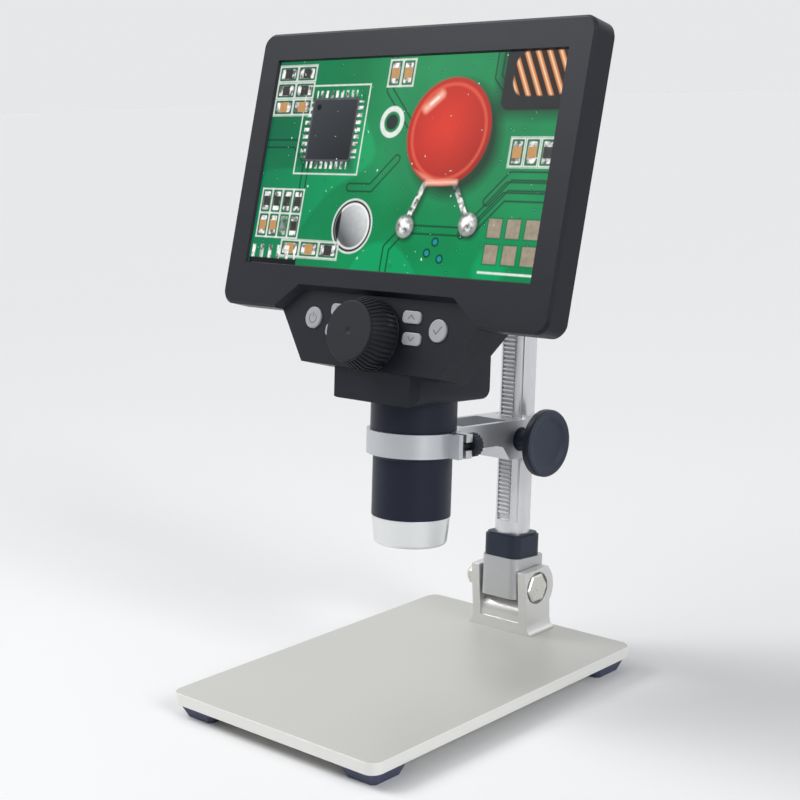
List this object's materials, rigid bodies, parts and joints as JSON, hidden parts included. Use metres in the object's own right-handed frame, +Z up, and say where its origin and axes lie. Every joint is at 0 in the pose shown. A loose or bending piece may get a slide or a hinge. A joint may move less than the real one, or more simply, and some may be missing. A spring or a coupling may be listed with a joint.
{
  "type": "lcd digital microscope",
  "caption": "Digital microscope with a built-in screen on a tilting rack-and-pinion stand, over a flat stage.",
  "frame": {"origin": "centre of the stage's top face, where the specimen lies", "axes": "+Z up off the stage, +X to the right of the person who looks at the screen, +Y to the rear, where the mast stands"},
  "size_m": [0.179, 0.1746, 0.2759],
  "materials": {
    "stage_paint": "satin silver-grey coat",
    "foot_rubber": "matt",
    "cast_silver": "satin silver-grey coat",
    "bright_steel": "bright",
    "zinc_steel": "plain zinc-plated",
    "column_metal": "drawn and anodised",
    "arm_metal": "satin anodised",
    "dark_plastic": "fine grain",
    "shell_plastic": "fine grain",
    "barrel_paint": "satin black",
    "dial_rubber": "matt",
    "liner_plastic": "smooth",
    "tip_metal": "turned and satin",
    "clear_glass": "clear",
    "screen_glass": "lit picture behind glass",
    "board_green": "lacquered board",
    "lamp_white": "lamp",
    "cell_blue": "shrink film",
    "button_grey": "fine grain",
    "blackened_steel": "blackened"
  },
  "bodies": {
    "stand": {"base_plate": "stage_paint", "rubber_feet": "foot_rubber", "foot_screws": "zinc_steel", "stand_yoke": "cast_silver", "yoke_screws": "zinc_steel", "hinge_bolt": "bright_steel", "hinge_nut": "bright_steel", "hinge_washers": "liner_plastic"},
    "mast": {"tilt_block": "cast_silver", "mast_collar": "dark_plastic", "mast_column": "column_metal", "column_screw": "blackened_steel", "column_cap": "dark_plastic"},
    "carriage": {"carriage_arm": "arm_metal", "column_liner": "liner_plastic", "shaft_bush": "dark_plastic"},
    "height_drive": {"pinion_shaft": "zinc_steel", "height_knob": "dark_plastic", "knob_screw": "blackened_steel"},
    "clamp": {"clamp_screw": "zinc_steel", "clamp_knob": "dark_plastic"},
    "head": {"front_shell": "shell_plastic", "rear_shell": "shell_plastic", "neck_housing": "shell_plastic", "neck_screws": "zinc_steel", "barrel": "barrel_paint", "barrel_nut": "barrel_paint", "lens_tip": "tip_metal", "tip_window": "clear_glass", "led_board": "liner_plastic", "ring_leds": "lamp_white", "sensor_board": "board_green", "sensor_screws": "zinc_steel", "lcd_panel": "screen_glass", "lcd_backlight": "arm_metal", "main_board": "board_green", "board_screws": "zinc_steel", "battery_pack": "cell_blue", "battery_door": "shell_plastic", "door_screws": "blackened_steel", "button_board": "board_green", "button_screws": "zinc_steel", "charging_port": "zinc_steel", "card_slot": "zinc_steel", "shell_screws": "blackened_steel"},
    "focus_drive": {"focus_dial": "dial_rubber", "dial_shaft": "zinc_steel"},
    "lens_slide": {"lens_tube": "barrel_paint", "front_lens": "clear_glass", "rear_lens": "clear_glass", "lens_ring": "dark_plastic"},
    "power": {"power_button": "button_grey"},
    "menu": {"menu_button": "button_grey"},
    "mode": {"mode_button": "button_grey"},
    "up": {"up_button": "button_grey"},
    "down": {"down_button": "button_grey"},
    "ok": {"ok_button": "button_grey"}
  },
  "joints": [
    {"name": "mast_tilt", "type": "hinge", "parent": "stand", "child": "mast", "pos_m": [0, 0.0691, 0.0202], "axis": [1, 0, 0], "range_deg": [-12, 12]},
    {"name": "carriage_slide", "type": "slide", "parent": "mast", "child": "carriage", "axis": [0, 0.0872, 0.9962], "range_m": [-0.033, 0.105]},
    {"name": "height_knob_turn", "type": "hinge", "parent": "carriage", "child": "height_drive", "pos_m": [0, 0.06406, 0.0886], "axis": [1, 0, 0], "range_deg": [-1453, 471]},
    {"name": "clamp_screw_turn", "type": "hinge", "parent": "carriage", "child": "clamp", "pos_m": [0.0226, 0.01255, 0.09662], "axis": [0, 0.9962, -0.0872], "range_deg": [-720, 0]},
    {"name": "head_swivel", "type": "hinge", "parent": "carriage", "child": "head", "pos_m": [0, 0.00756, 0.09706], "axis": [0, 0.0872, 0.9962], "range_deg": [-60, 60]},
    {"name": "focus_dial_turn", "type": "hinge", "parent": "head", "child": "focus_drive", "pos_m": [0, -0.01707, 0.1446], "axis": [0, -0.9593, 0.2823], "range_deg": [-100, 100]},
    {"name": "lens_travel", "type": "slide", "parent": "head", "child": "lens_slide", "axis": [0, 0.0872, 0.9962], "range_m": [-0.005, 0.005]},
    {"name": "power_press", "type": "slide", "parent": "head", "child": "power", "axis": [0, 0.9593, -0.2823], "range_m": [0, 0.0006], "stiffness_N_per_m": 800, "springref_m": -0.0002},
    {"name": "menu_press", "type": "slide", "parent": "head", "child": "menu", "axis": [0, 0.9593, -0.2823], "range_m": [0, 0.0006], "stiffness_N_per_m": 800, "springref_m": -0.0002},
    {"name": "mode_press", "type": "slide", "parent": "head", "child": "mode", "axis": [0, 0.9593, -0.2823], "range_m": [0, 0.0006], "stiffness_N_per_m": 800, "springref_m": -0.0002},
    {"name": "up_press", "type": "slide", "parent": "head", "child": "up", "axis": [0, 0.9593, -0.2823], "range_m": [0, 0.0006], "stiffness_N_per_m": 800, "springref_m": -0.0002},
    {"name": "down_press", "type": "slide", "parent": "head", "child": "down", "axis": [0, 0.9593, -0.2823], "range_m": [0, 0.0006], "stiffness_N_per_m": 800, "springref_m": -0.0002},
    {"name": "ok_press", "type": "slide", "parent": "head", "child": "ok", "axis": [0, 0.9593, -0.2823], "range_m": [0, 0.0006], "stiffness_N_per_m": 800, "springref_m": -0.0002}
  ],
  "couplings": [
    {"joint": "height_knob_turn", "follows": "carriage_slide", "rad_per_m": -238.1},
    {"joint": "focus_dial_turn", "follows": "lens_travel", "rad_per_m": 326.76}
  ]
}
